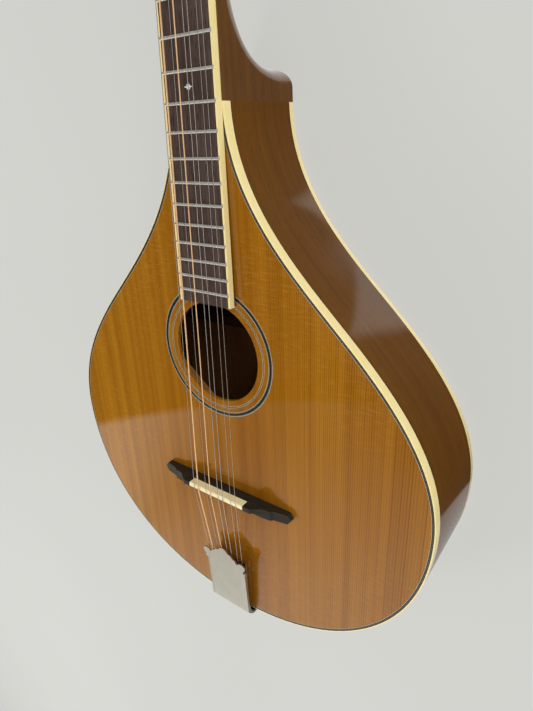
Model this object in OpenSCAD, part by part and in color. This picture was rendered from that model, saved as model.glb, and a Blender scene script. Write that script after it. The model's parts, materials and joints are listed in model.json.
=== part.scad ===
// Flat-top octave mandolin with a teardrop body: four double courses, a floating bridge with a
// bone saddle, a covered tailpiece and two strips of four geared tuners.
// It lies on its back. +Y runs up the neck, +Z out of the soundboard and +X to the treble side.
// The origin is on the outer face of the back, on the centre line, under the soundhole.

/* [Body] */
// Height of the sides, from the outer face of the back to the soundboard's top face
body_depth = 72; // [60:1:90]
// Half of the widest part of the body
body_half_w = 165.9; // [160:0.1:172]
// Distance from the soundhole centre to the tail end
tail_y = 236.4; // [230:0.1:240]
// Distance from the soundhole centre to the neck joint, which is at the twelfth fret
joint_y = 160; // [150:1:165]
// Thickness of the soundboard
top_t = 2.8; // [2.4:0.1:3.6]
// Thickness of the back
back_t = 2.5; // [2.2:0.1:3.5]
// Thickness of the bent sides
rib_t = 2.2; // [2.1:0.1:3]
// Radius of the soundhole
hole_r = 37.1; // [30:0.5:40]
// Width of the cream binding, seen from the front
bind_w = 0.9; // [0.8:0.1:2.1]
// Height of the top's cream binding, seen from the side
bind_h = 6.8; // [4:0.1:8]
// Height of the back's cream binding, seen from the side
back_bind_h = 4.5; // [3:0.1:8]
// Width of the black and white lines inside the top binding
purf_w = 1.9; // [1:0.1:2.5]

/* [Neck] */
// Open string length from the nut to the bridge line
scale_len = 560; // [540:1:570]
// Backward lean of the neck, in degrees
neck_pitch = 1.1; // [0.5:0.1:2]
// Half width of the playing surface between the bindings at the twelfth fret
board_half_w = 19.5; // [18:0.5:21]
// Narrowing of that half width for each mm towards the nut
board_taper = 0.0108; // [0.008:0.0002:0.014]
// Thickness of the fretboard
board_t = 4.3; // [4:0.1:6]
// Height of the frets above the board
fret_h = 1.0; // [0.8:0.1:1.3]
// Number of frets
fret_count = 21; // [19:1:21]
// Thickness of the binding on the sides of the board
side_bind = 1.5; // [1:0.1:2]
// Lean of the headstock behind the plane of the board, in degrees
head_angle = 13; // [8:1:16]
// Half width of the headstock
head_half_w = 31; // [30:0.5:34]

/* [Strings and bridge] */
// Height of the string line above the soundboard at the saddle
saddle_h = 14.9; // [12:0.1:17]
// Half of the bridge base's length
bridge_half = 64; // [55:1:70]
// Distance between neighbouring courses at the saddle
course_pitch = 12.5; // [11:0.1:13]
// Distance between the two strings of a course at the saddle
pair_gap = 4.7; // [3:0.1:5]

/* [Tuners] */
// Distance between neighbouring string posts
post_pitch = 23; // [22:0.5:25]
// Radius of a string post
post_r = 3; // [2.5:0.1:3.2]
// Number of teeth on each post gear
gear_teeth = 14; // [12:1:16]

/* [Hidden] */
$fn = 48;
eps = 0.01;
run = 0.05;                     // radial clearance of a shaft that turns in a hole
gap = 0.3;                      // space between pieces that move past each other
top_z = body_depth;
board_y = 38;                   // lower end of the fretboard
saddle_y = joint_y - scale_len / 2;
nut_y = saddle_y + scale_len;
wood = "Peru";
mahogany = [0.40, 0.24, 0.12];
rosewood = [0.20, 0.14, 0.12];
ebony = [0.10, 0.08, 0.07];
cream = [0.95, 0.89, 0.66];
nickel = [0.75, 0.73, 0.68];
bone = [0.97, 0.93, 0.80];

// ---- Body outline: three Bezier curves down the treble side, from the tail to the neck joint
joint_half_w = 21.7;            // half width of body and heel at the joint
wide_y = -87;                   // height of the widest line
turn = [99.4, 32.5];            // where the curve changes from round to hollow
turn_dir = [cos(44.5), -sin(44.5)];
tail_curve = [[0, -tail_y], [97.5, -tail_y], [body_half_w, wide_y - 86], [body_half_w, wide_y]];
waist_curve = [[body_half_w, wide_y], [body_half_w, wide_y + 48.5], turn + 49.5 * turn_dir, turn];
neck_curve = [turn, turn - 50.5 * turn_dir, [joint_half_w + 1, joint_y - 54],
    [joint_half_w, joint_y]];
curve_steps = 24;               // flats on each Bezier curve

function bezier(c, t) = pow(1 - t, 3) * c[0] + 3 * pow(1 - t, 2) * t * c[1]
    + 3 * (1 - t) * t * t * c[2] + t * t * t * c[3];
function slope(c, t) = pow(1 - t, 2) * (c[1] - c[0]) + 2 * (1 - t) * t * (c[2] - c[1])
    + t * t * (c[3] - c[2]);
// The curve moved inwards by inset along its own normal
function inset_point(c, t, inset) =
    let (s = slope(c, t), l = norm(s)) bezier(c, t) + inset * [-s[1], s[0]] / l;
function half_outline(inset = 0) = concat(
    [[0, -tail_y + inset]],
    [for (i = [1 : curve_steps]) inset_point(tail_curve, i / curve_steps, inset)],
    [for (i = [1 : curve_steps]) inset_point(waist_curve, i / curve_steps, inset)],
    [for (i = [1 : curve_steps]) inset_point(neck_curve, i / curve_steps, inset)]);
function mirrored(points) = [for (p = points) [-p[0], p[1]]];
function reversed(points) = [for (i = [len(points) - 1 : -1 : 0]) points[i]];
function outline(inset = 0) = let (h = half_outline(inset))
    concat(h, reversed([for (i = [1 : len(h) - 1]) [-h[i][0], h[i][1]]]));

// A plate of the body's outline, from z0 up to z1
module body_plate(inset, z0, z1) {
    translate([0, 0, z0]) linear_extrude(z1 - z0) polygon(outline(inset));
}
// A wall that follows the outline between two insets
module body_ring(outer, inner, z0, z1) {
    translate([0, 0, z0]) linear_extrude(z1 - z0)
        polygon(concat(reversed(mirrored(half_outline(outer))), half_outline(outer),
            reversed(half_outline(inner)), mirrored(half_outline(inner))));
}
module half_ring(side, outer, inner, z0, z1) {
    translate([0, 0, z0]) linear_extrude(z1 - z0) polygon(
        side > 0 ? concat(half_outline(outer), reversed(half_outline(inner)))
                 : reversed(mirrored(concat(half_outline(outer), reversed(half_outline(inner))))));
}
module block_at(x0, x1, y0, y1, z0, z1) {
    translate([x0, y0, z0]) cube([x1 - x0, y1 - y0, z1 - z0]);
}

// ---- Body pieces
rosette_rings = [[41.6, 42.9], [46.3, 49.7]]; // inner and outer radius of each inlaid ring
rosette_depth = 1.5;
purf_depth = 1.2;
lining_w = 6;
lining_h = 14;
block_t = 30;                   // length of the neck block
tail_t = 20;

module soundboard() {
    color(wood) difference() {
        body_plate(bind_w, top_z - top_t, top_z);
        translate([0, 0, top_z - top_t - 1]) cylinder(h = top_t + 2, r = hole_r, $fn = 96);
        body_ring(bind_w - 1, bind_w + purf_w, top_z - purf_depth, top_z + 1);
        for (ring = rosette_rings) translate([0, 0, top_z - rosette_depth])
            rosette_ring(ring[0], ring[1], rosette_depth + 1);
    }
}
module rosette_ring(r0, r1, h) {
    difference() {
        cylinder(h = h, r = r1, $fn = 96);
        translate([0, 0, -1]) cylinder(h = h + 2, r = r0, $fn = 96);
    }
}
module back_plate() {
    color(mahogany) body_plate(bind_w, 0, back_t);
}
module rib(side) {
    color(mahogany) {
        half_ring(side, 0, rib_t, back_bind_h, top_z - bind_h);
        // The edges are cut back to seat the bindings
        half_ring(side, bind_w, rib_t, back_t, back_bind_h + eps);
        half_ring(side, bind_w, rib_t, top_z - bind_h - eps, top_z - top_t);
    }
}
module lining(z0) {
    color(wood) difference() {
        body_ring(rib_t, rib_t + lining_w, z0, z0 + lining_h);
        block_at(-60, 60, joint_y - block_t, joint_y + 1, 0, body_depth);
        block_at(-42, 42, -tail_y - 1, -tail_y + rib_t + tail_t, 0, body_depth);
    }
}
module end_blocks() {
    color(mahogany) {
        intersection() {
            body_plate(rib_t, back_t, top_z - top_t);
            block_at(-60, 60, joint_y - block_t, joint_y - eps, 0, body_depth);
        }
        intersection() {
            body_plate(rib_t, back_t, top_z - top_t);
            block_at(-42, 42, -tail_y, -tail_y + rib_t + tail_t, 0, body_depth);
        }
    }
}
// A brace with sloping ends, centred on its own length, standing down from z = 0
module brace(length, width, height, toe = 3, run_out = 25) {
    rotate([90, 0, 0]) translate([0, 0, -width / 2]) linear_extrude(width)
        polygon([[-length / 2, 0], [length / 2, 0], [length / 2, -toe],
            [length / 2 - run_out, -height], [-length / 2 + run_out, -height],
            [-length / 2, -toe]]);
}
cross_y = -62;                  // where the two long top braces cross
cross_angle = 40;               // each one's direction, from the X axis
brace_inset = rib_t + lining_w + 0.1; // the braces stop inside the linings
module top_braces() {
    zb = top_z - top_t;
    color(wood) intersection() {
        body_plate(brace_inset, 0, top_z);
        union() {
            for (s = [-1, 1]) translate([0, cross_y, zb]) rotate([0, 0, s * cross_angle])
                brace(260, 7.5, 10);
            translate([0, 62, zb]) brace(112, 12, 9, 4, 16);
            // Patch under the bridge
            difference() {
                translate([0, -118, zb - 2.6]) linear_extrude(2.6)
                    square([128, 26], center = true);
                for (s = [-1, 1]) translate([0, cross_y, zb]) rotate([0, 0, s * cross_angle])
                    translate([0, 0, -5]) cube([270, 8.1, 20], center = true);
            }
        }
    }
}
// Each back brace: its height on the centre line, and its length
back_brace_list = [[96, 66], [0, 232], [-96, 316], [-176, 244]];
module back_braces() {
    color(wood) intersection() {
        body_plate(brace_inset, 0, top_z);
        union() {
            for (b = back_brace_list) translate([0, b[0], back_t]) mirror([0, 0, 1])
                brace(b[1], 8, 12);
            difference() {
                translate([-7, -210, back_t]) cube([14, 330, 2]);
                for (b = back_brace_list) block_at(-20, 20, b[0] - 4, b[0] + 4, 0, 10);
            }
        }
    }
}
module top_binding() {
    color(cream) body_ring(0, bind_w, top_z - bind_h, top_z);
}
module back_binding() {
    color(cream) body_ring(0, bind_w, 0, back_bind_h);
}
module top_purfling() {
    color("black") body_ring(bind_w, bind_w + purf_w, top_z - purf_depth, top_z);
}
module rosette() {
    color("black") for (ring = rosette_rings) translate([0, 0, top_z - rosette_depth])
        rosette_ring(ring[0], ring[1], rosette_depth);
}

// ---- Neck: the board plane leans back from the joint
module board_frame() {
    translate([0, joint_y, top_z]) rotate([-neck_pitch, 0, 0]) children();
}
function board_z(y) = top_z - (y - joint_y) * tan(neck_pitch);
function half_w(y) = board_half_w - board_taper * (y - joint_y);
neck_end = nut_y + 5;           // where the neck shaft meets the headstock
heel_crease = [[169, 0], [168.6, 32], [178, 64], [225, 68.5]];
heel_back = [[181, 0], [179.5, 34], [193, 50], [240, 50]];
shaft_steps = 24;
side_steps = 16;                // flats on half of the rounded back
function neck_w(y) = joint_half_w - (y - joint_y) * 0.0133;
// Lines along the neck in the YZ plane: the edge of the flat side, and the middle of the back
function crease_line() = concat(
    [for (i = [0 : shaft_steps]) bezier(heel_crease, i / shaft_steps)],
    [for (i = [1 : 4]) let (y = 225 + (neck_end - 225) * i / 4) [y, board_z(y) - 2.8]]);
function back_line() = concat(
    [for (i = [0 : shaft_steps]) bezier(heel_back, i / shaft_steps)],
    [for (i = [1 : 4]) let (y = 240 + (neck_end - 240) * i / 4) [y, board_z(y) - 20.6 + i]]);
module neck() {
    edge = crease_line();
    back = back_line();
    n = 2 * side_steps;
    rings = [for (i = [0 : len(edge) - 1]) [for (j = [0 : n])
        let (a = 180 * j / n, p = edge[i] + (back[i] - edge[i]) * sin(a))
        [neck_w(edge[i][0]) * cos(a), p[0], p[1]]]];
    points = concat([for (ring = rings) each ring],
        [[joint_half_w, joint_y, 0], [-joint_half_w, joint_y, 0],
         [joint_half_w, joint_y, top_z], [-joint_half_w, joint_y, top_z],
         [neck_w(225), 225, board_z(225)], [-neck_w(225), 225, board_z(225)],
         [neck_w(neck_end), neck_end, board_z(neck_end)],
         [-neck_w(neck_end), neck_end, board_z(neck_end)]]);
    k = len(rings) * (n + 1);
    last = len(rings) - 1;
    m = shaft_steps;
    color(mahogany) difference() {
        polyhedron(points, concat(
            [for (i = [0 : last - 1]) for (j = [0 : n - 1])
                [i * (n + 1) + j, (i + 1) * (n + 1) + j + 1, i * (n + 1) + j + 1]],
            [for (i = [0 : last - 1]) for (j = [0 : n - 1])
                [i * (n + 1) + j, (i + 1) * (n + 1) + j, (i + 1) * (n + 1) + j + 1]],
            [concat([for (j = [0 : n]) j], [k + 1, k])],
            [concat([k + 6, k + 7], [for (j = [n : -1 : 0]) last * (n + 1) + j])],
            [[k + 1, k + 3, k + 2, k]],
            [[k + 3, k + 5, k + 4, k + 2]],
            [[k + 5, k + 7, k + 6, k + 4]],
            [concat([k + 2, k + 4], [for (i = [m : -1 : 0]) i * (n + 1)], [k])],
            [concat([k + 4, k + 6], [for (i = [last : -1 : m]) i * (n + 1)])],
            [concat([k + 5, k + 3, k + 1], [for (i = [0 : m]) i * (n + 1) + n])],
            [concat([k + 7, k + 5], [for (i = [m : last]) i * (n + 1) + n])]));
        board_frame() translate([0, 4, -9]) block_at(-3.1, 3.1, 0, neck_end, 0, 12);
    }
}
module truss_rod() {
    color("gray") board_frame() {
        block_at(-3, 3, 6, nut_y - joint_y - 4, -8.9, -0.1);
        translate([0, nut_y - joint_y - 4.5, -6]) rotate([-90, 0, 0]) cylinder(h = 8, r = 2.4);
    }
}
module fretboard() {
    color(rosewood) board_frame() difference() {
        linear_extrude(board_t) board_plan(0);
        for (n = [1 : fret_count]) translate([0, fret_y(n) - joint_y, board_t - 2.2])
            translate([-30, -0.3, 0]) cube([60, 0.6, 5]);
        star_inlays();
    }
}
function fret_y(n) = saddle_y + scale_len * pow(2, -n / 12);
// Outline of the board, grown sideways by extra
module board_plan(extra) {
    y0 = board_y - joint_y;
    y1 = nut_y - joint_y;
    w0 = half_w(board_y) + extra;
    w1 = half_w(nut_y) + extra;
    polygon([[-w0, y0], [w0, y0], [w1, y1], [-w1, y1]]);
}
module fretboard_binding() {
    color(cream) board_frame() difference() {
        linear_extrude(board_t) board_plan(side_bind);
        translate([0, 0, -1]) linear_extrude(board_t + 2) board_plan(0);
        block_at(-14, 14, -200, 400, -1, 10);
        side_dots();
    }
}
module fretboard_wedge() {
    drop = (joint_y - board_y) * tan(neck_pitch);
    color(ebony) intersection() {
        rotate([90, 0, 90]) translate([0, 0, -30]) linear_extrude(60)
            polygon([[board_y, top_z], [joint_y, top_z], [board_y, top_z + drop]]);
        translate([0, joint_y, top_z]) linear_extrude(10) board_plan(0.3);
    }
}
// One fret: a domed crown over a thin tang
module fret(half) {
    translate([-half - 0.5, 0, 0]) rotate([90, 0, 90]) linear_extrude(2 * half + 1)
        polygon([[-1.15, 0], [1.15, 0], [0.95, 0.5], [0.5, 0.88], [0, fret_h], [-0.5, 0.88],
            [-0.95, 0.5]]);
    translate([-half, -0.29, -2]) cube([2 * half, 0.58, 2]);
}
module frets() {
    color(nickel) board_frame() for (n = [1 : fret_count])
        translate([0, fret_y(n) - joint_y, board_t]) fret(half_w(fret_y(n)));
}
function star(r0, r1, points) = [for (i = [0 : 2 * points - 1])
    let (r = i % 2 == 0 ? r1 : r0, a = 90 + 180 * i / points) [r * cos(a), r * sin(a)]];
marked_frets = [5, 7, 12];      // stars on the face
dotted_frets = [3, 5, 7, 10, 12]; // dots on the bass side
inlay_t = 1;
function mid_fret(n) = (fret_y(n) + fret_y(n - 1)) / 2 - joint_y;
module star_inlays() {
    for (n = marked_frets) translate([0, mid_fret(n), board_t - inlay_t])
        linear_extrude(inlay_t + 0.02) union() {
            polygon(star(1.0, 3.4, 4));
            rotate(45) polygon(star(0.9, 2, 4));
        }
}
module side_dots() {
    for (n = dotted_frets) translate([-half_w(mid_fret(n) + joint_y) - side_bind - 0.02,
        mid_fret(n), board_t / 2]) rotate([0, 90, 0]) cylinder(h = inlay_t, r = 0.9);
}
module inlays() {
    color("white") board_frame() {
        star_inlays();
        side_dots();
    }
}
slot_len = 9;                   // string slots in the nut fan out towards their posts
module nut() {
    w = half_w(nut_y) + side_bind;
    color(bone) board_frame() translate([0, nut_y - joint_y, 0]) difference() {
        rotate([90, 0, 90]) translate([0, 0, -w]) linear_extrude(2 * w)
            polygon([[0, 0], [4.6, 0], [4.6, 4.6], [3.2, 6.2], [0, 6.6]]);
        for (c = [0 : 3]) for (s = [-1, 1]) let (r = string_r(c, s) + 0.05,
            path = string_path(c, s), run = path[3] - path[2], fan = slot_len * run[0] / run[1])
            translate([nut_x(c, s), 0, string_at_nut]) rotate([-12.5, 0, 0])
                linear_extrude(5) polygon([[-r, -1], [r, -1], [r, 0.4],
                    [r + max(fan, 0), slot_len], [-r + min(fan, 0), slot_len], [-r, 0.4]]);
    }
}

// ---- Headstock
head_t = 14;                    // wood under the veneer
veneer_t = 2;
head_len = 128;
first_post = 28;                // distance from the nut to the first pair of posts
post_x = 21.5;
module head_frame() {
    board_frame() translate([0, nut_y - joint_y + 4.6, 2]) rotate([-head_angle, 0, 0]) children();
}
head_flare = [[head_half_w - 13, 0], [head_half_w - 13, 8], [head_half_w - 1, 4],
    [head_half_w, 17]];
head_tip = [[head_half_w - 1.5, head_len - 14], [head_half_w - 3, head_len - 4],
    [head_half_w - 16, head_len - 4], [0, head_len]];
function head_side() = concat([for (i = [0 : 8]) bezier(head_flare, i / 8)],
    [for (i = [0 : 8]) bezier(head_tip, i / 8)]);
module head_plan(y0) {
    half = head_side();
    polygon(concat([[half[0][0], y0]], half,
        reversed([for (i = [0 : len(half) - 2]) [-half[i][0], half[i][1]]]),
        [[-half[0][0], y0]]));
}
// A child is placed at each post, with +Z out of the headstock's face
module at_post(n) {
    side = n <= 4 ? -1 : 1;
    row = n <= 4 ? n - 1 : n - 5;
    head_frame() translate([side * post_x, first_post + row * post_pitch, 0]) children();
}
module headstock() {
    color(mahogany) difference() {
        head_frame() translate([0, 0, -veneer_t - head_t]) linear_extrude(head_t) head_plan(-14);
        block_at(-60, 60, joint_y, neck_end, 0, 100);
        board_frame() block_at(-60, 60, 0, nut_y - joint_y + 6, 0, 30);
        board_frame() translate([0, 0, -9]) block_at(-3.1, 3.1, 0, nut_y - joint_y + 22, 0, 30);
        for (n = [1 : 8]) at_post(n) translate([0, 0, -30]) cylinder(h = 40, r = bushing_r);
    }
}
module headstock_veneer() {
    color(ebony) difference() {
        head_frame() translate([0, 0, -veneer_t]) linear_extrude(veneer_t) head_plan(0.4);
        for (n = [1 : 8]) at_post(n) translate([0, 0, -30]) cylinder(h = 40, r = bushing_r);
        head_frame() translate([-3.6, -2, -10]) cube([7.2, 20, 20]);
    }
}
module truss_cover() {
    color(ebony) head_frame() difference() {
        linear_extrude(1.6) polygon([[-8, 0.8], [8, 0.8], [8.5, 6], [5, 16], [0, 25],
            [-5, 16], [-8.5, 6]]);
        for (p = cover_screws) translate([p[0], p[1], -1]) cylinder(h = 4, r = 0.9);
    }
}
cover_screws = [[-6, 3.2], [6, 3.2], [0, 21]];

// ---- Tuners
bushing_r = 4.4;
plate_t = 1.2;
plate_w = 14;
back_w = -veneer_t - head_t;    // back face of the headstock, in the post frame
gear_r = 5.6;                   // pitch radius of the post gear
worm_r = 2.2;
gear_z = back_w - plate_t - 2.6;
worm_y = gear_r + worm_r;       // the worm lies this far up the headstock from the post
shaft_r = 1.6;
lug_in = 7;                     // lugs on each side of the post
lug_out = 7;
module tuner_plates() {
    color(nickel) for (side = [-1, 1]) {
        difference() {
            head_frame() translate([side * post_x, first_post + 1.5 * post_pitch, back_w - plate_t])
                linear_extrude(plate_t) square([plate_w, 3 * post_pitch + 30], center = true);
            for (n = [1 : 8]) at_post(n) translate([0, 0, -40]) cylinder(h = 60, r = post_r + run);
            for (p = plate_screws) head_frame() translate([side * post_x, p, -40])
                cylinder(h = 60, r = 1.1);
        }
        for (row = [0 : 3]) for (x = [-lug_in, lug_out - plate_t]) head_frame()
            translate([side * post_x + x, first_post + row * post_pitch + worm_y, 0])
                difference() {
                    translate([0, -2.6, gear_z - 2.6]) cube([plate_t, 5.2, 5.2]);
                    translate([-1, 0, gear_z]) rotate([0, 90, 0]) cylinder(h = 4, r = shaft_r + run);
                }
    }
}
plate_screws = [first_post - 10.5, first_post + post_pitch + 13.5,
    first_post + 3 * post_pitch + 12.8];
module post_bushings() {
    color(nickel) for (n = [1 : 8]) at_post(n) difference() {
        union() {
            translate([0, 0, -6]) cylinder(h = 6.5, r = bushing_r - 0.02);
            cylinder(h = 0.9, r = 5.4);
        }
        translate([0, 0, -7]) cylinder(h = 10, r = post_r + run);
    }
}
function tooth(a, r, da) = [r * cos(a + da), r * sin(a + da)];
function gear_points() = [for (i = [0 : gear_teeth - 1]) let (a = 360 * i / gear_teeth)
    each [tooth(a, 4.9, -8.5), tooth(a, 6.3, -4), tooth(a, 6.3, 4), tooth(a, 4.9, 8.5)]];
module tuner_post(n) {
    color(nickel) at_post(n) {
        difference() {
            union() {
                translate([0, 0, gear_z - 0.9]) cylinder(h = 13.5 - gear_z + 0.9 - 0.6, r = post_r);
                translate([0, 0, 12.2]) cylinder(h = 1.3, r1 = post_r, r2 = post_r - 0.7);
                translate([0, 0, gear_z - 0.9]) linear_extrude(1.8) polygon(gear_points());
                for (i = [0 : 2]) translate([0, 0, 6.2 + 0.8 * i])
                    rotate_extrude() translate([post_r, 0]) circle(r = 0.38, $fn = 16);
            }
            translate([0, 0, 9.6]) rotate([0, 90, 0]) translate([0, 0, -5]) cylinder(h = 10, r = 0.8);
        }
        translate([0, 0, gear_z - 2.2]) cylinder(h = 1.3, r = 2.3);
    }
}
// The worm shaft runs outwards from the inner lug; its button sits outside the headstock
module at_worm(n) {
    side = n <= 4 ? -1 : 1;
    at_post(n) translate([0, worm_y, gear_z]) rotate([0, side * 90, 0]) children();
}
button_start = 15.5;            // where the button begins, measured from the post
module tuner_worm(n) {
    color("silver") at_worm(n) {
        translate([0, 0, -lug_in - 1]) cylinder(h = lug_in + button_start + 10, r = shaft_r - 0.4);
        translate([0, 0, -lug_in - 0.8]) cylinder(h = plate_t + 0.8, r = shaft_r);
        translate([0, 0, lug_out - plate_t])
            cylinder(h = button_start - lug_out + plate_t - 0.5, r = shaft_r);
        for (z = [-lug_in + plate_t + 0.1, lug_out - plate_t - 1.3]) translate([0, 0, z])
            cylinder(h = 1.2, r = 2.4);
    }
}
module tuner_button(n) {
    color(cream) at_worm(n) translate([0, 0, button_start]) difference() {
        union() {
            cylinder(h = 3, r1 = 2.6, r2 = 2.2);
            translate([0, 0, 2.2]) rotate([90, 0, 0]) translate([0, 0, -3]) linear_extrude(6)
                polygon([for (i = [0 : 31]) let (a = 360 * i / 32)
                    [7.2 * cos(a) * (1 - 0.12 * sin(a)), 5.2 + 5.2 * sin(a)]]);
        }
        translate([0, 0, -1]) cylinder(h = 10.02, r = shaft_r - 0.4);
    }
}

// ---- Bridge, tailpiece and strings
bridge_front = saddle_y + 7;    // neck side of the bridge
bridge_depth = 8;
bridge_top = 8;                 // wood under the saddle
top_depth = 4;
module bridge() {
    w = bridge_half;
    zs = top_z;
    color(ebony) difference() {
        union() {
            // Feet and wings
            intersection() {
                translate([0, bridge_front, zs]) rotate([90, 0, 0]) linear_extrude(bridge_depth)
                    polygon(concat([[-w, 0], [w, 0], [w, 4.2], [50, 6.6], [48, 8.4], [40, 9.2]],
                        [[-40, 9.2], [-48, 8.4], [-50, 6.6], [-w, 4.2]]));
                translate([0, bridge_front - bridge_depth / 2, 0]) linear_extrude(100)
                    polygon([[-w + 3, 4], [w - 3, 4], [w, 0], [w - 3, -4], [-w + 3, -4], [-w, 0]]);
            }
            // Rising middle, thinner towards the top
            translate([0, 0, zs]) rotate([90, 0, 90]) translate([0, 0, -33.6])
                linear_extrude(67.2) polygon([[bridge_front, 0], [bridge_front, saddle_h - 0.4],
                    [bridge_front - top_depth, saddle_h - 0.4], [bridge_front - bridge_depth, 7],
                    [bridge_front - bridge_depth, 0]]);
            for (s = [-1, 1]) bridge_shoulder(s);
        }
        // Slot for the saddle
        translate([-27, bridge_front - 5, zs + bridge_top]) cube([54, 10, 20]);
    }
}
module bridge_shoulder(s) {
    translate([0, bridge_front, top_z]) rotate([90, 0, 0]) linear_extrude(top_depth)
        polygon([[s * 33.5, 6], [s * 33.5, saddle_h - 0.4], [s * 43, 8], [s * 43, 6]]);
}
// The string's resting point, measured back from the front of the saddle, for each course
rest_back = [2.6, 1.4, 2.8, 1.2];
module saddle() {
    edges = [-27, -course_pitch, 0, course_pitch, 27];
    h = saddle_h - bridge_top;
    color(bone) translate([0, bridge_front, top_z + bridge_top]) for (c = [0 : 3])
        translate([edges[c], 0, 0]) rotate([90, 0, 90]) linear_extrude(edges[c + 1] - edges[c])
            polygon([[-top_depth, 0], [0, 0], [0, h - 0.8], [-rest_back[c], h],
                [-top_depth, h - 0.8]]);
}

// Courses run from bass to treble; in each, side -1 is the string nearer the bass edge
function across(c, s, pitch, pair) = (c - 1.5) * pitch + s * pair / 2;
function nut_x(c, s) = across(c, s, 8.4, 2.7);
function saddle_x(c, s) = across(c, s, course_pitch, pair_gap);
function hook_x(c, s) = across(c, s, 9.9, 4.3);
plain = -1;
function string_r(c, s) = c == 0 ? (s == plain ? 0.22 : 0.58)
    : c == 1 ? (s == plain ? 0.16 : 0.42) : c == 2 ? 0.25 : 0.17;
string_at_nut = board_t + fret_h + 0.5;
touch = 0.02;
hook_y = -196;
hook_h = 7.2;                   // height of the strings above the soundboard at their hooks
wind_h = 7;                     // height of the windings above the veneer
// Places given along (v) and above (w) the board or the headstock, in the part's frame
function board_point(x, v, w) = [x, joint_y + v * cos(neck_pitch) + w * sin(neck_pitch),
    top_z - v * sin(neck_pitch) + w * cos(neck_pitch)];
function head_point(x, v, w) = board_point(x,
    nut_y - joint_y + 4.6 + v * cos(head_angle) + w * sin(head_angle),
    2 - v * sin(head_angle) + w * cos(head_angle));
// The outer string of an outer course goes to the nearest post, the next to the next
function post_row(c, s) = c == 0 ? (s < 0 ? 0 : 1) : c == 1 ? (s < 0 ? 2 : 3)
    : c == 3 ? (s > 0 ? 0 : 1) : (s > 0 ? 2 : 3);
function string_path(c, s) = let (r = string_r(c, s), side = c < 2 ? -1 : 1) [
    [hook_x(c, s), hook_y + 1.4, top_z + hook_h],
    [saddle_x(c, s), bridge_front - rest_back[c], top_z + saddle_h + r + touch],
    board_point(nut_x(c, s), nut_y - joint_y + 0.3, string_at_nut + r + touch),
    head_point(side * (post_x - post_r - 0.38 - gap - r), first_post + post_row(c, s) * post_pitch,
        wind_h)];
function unit(v) = v / norm(v);
tube_sides = 8;
// A round string swept along its path, with its rings across each bend
module string_tube(path, r) {
    last = len(path) - 1;
    rings = [for (i = [0 : last])
        let (a = unit(path[min(i + 1, last)] - path[min(i, last - 1)]),
             b = unit(path[max(i, 1)] - path[max(i - 1, 0)]), d = unit(a + b),
             u = unit(cross(d, [0, 0, 1])), v = cross(u, d))
        [for (j = [0 : tube_sides - 1]) let (t = 360 * j / tube_sides)
            path[i] + r * (cos(t) * u + sin(t) * v)]];
    n = tube_sides;
    polyhedron([for (ring = rings) each ring], concat(
        [[for (j = [0 : n - 1]) j]],
        [for (i = [0 : last - 1]) for (j = [0 : n - 1])
            [i * n + j, (i + 1) * n + j, (i + 1) * n + (j + 1) % n, i * n + (j + 1) % n]],
        [[for (j = [n - 1 : -1 : 0]) last * n + j]]));
}
module course(c) {
    for (s = [-1, 1]) color(c < 2 && s > 0 ? "Chocolate" : "silver")
        string_tube(string_path(c, s), string_r(c, s));
}

// ---- Tailpiece
cover_w = 20;                   // half width
cover_t = 1.2;
cover_bevel = [3.2, 1.6];       // width and drop of the sloping strip along each long side
base_w = 16;
base_t = 1.2;
tail_end = -tail_y - 0.2;       // clear of the binding at the tail
cover_drop = -26;               // lower end of the part that hangs over the tail
// Upper line of the cover in the YZ plane, above the soundboard
cover_start = [-164, 12.2];
cover_turn = [-222, 9.5];
cover_line = [cover_start, cover_turn, [-tail_y + 5.8, 9], [-tail_y + 3.6, 8.2],
    [-tail_y - 0.4, 5.2], [-tail_y - 3.4, 2.2], [-tail_y - 4.4, -0.8],
    [-tail_y - 4.4, cover_drop]];
// Lower edge of the side walls, from the tail back up to the ears
cover_wall_edge = [[-tail_y - 3.2, -0.8], [-tail_y - 2.4, 1.2], [-tail_y + 1.6, 3.8],
    [-226, 5.4], [-188, 7.4],
    [-188, 9.6], cover_start - [0, cover_t]];
// Scalloped upper edge of the cover, from the centre to the treble ear
cover_edge = [[0, -170], [2.4, -170.8], [4.2, -172.6], [5, -173.8], [7, -174], [8.6, -175.2],
    [9.2, -176.6], [11, -177], [12.6, -178.4], [13.2, -180], [14.6, -180.2], [15.6, -179],
    [16.8, -178.2], [18.6, -178], [20.6, -178.6], [22, -180.2], [22.2, -182.2], [21, -184.4],
    [19.8, -185.4], [cover_w, -188]];
ear_end = -188;
eyelet_r = 1.5;
// A line in the YZ plane moved to its right by d
function beside(line, d) = let (last = len(line) - 1) [for (i = [0 : last])
    let (a = unit(line[min(i + 1, last)] - line[max(i - 1, 0)])) line[i] + d * [a[1], -a[0]]];
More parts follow.
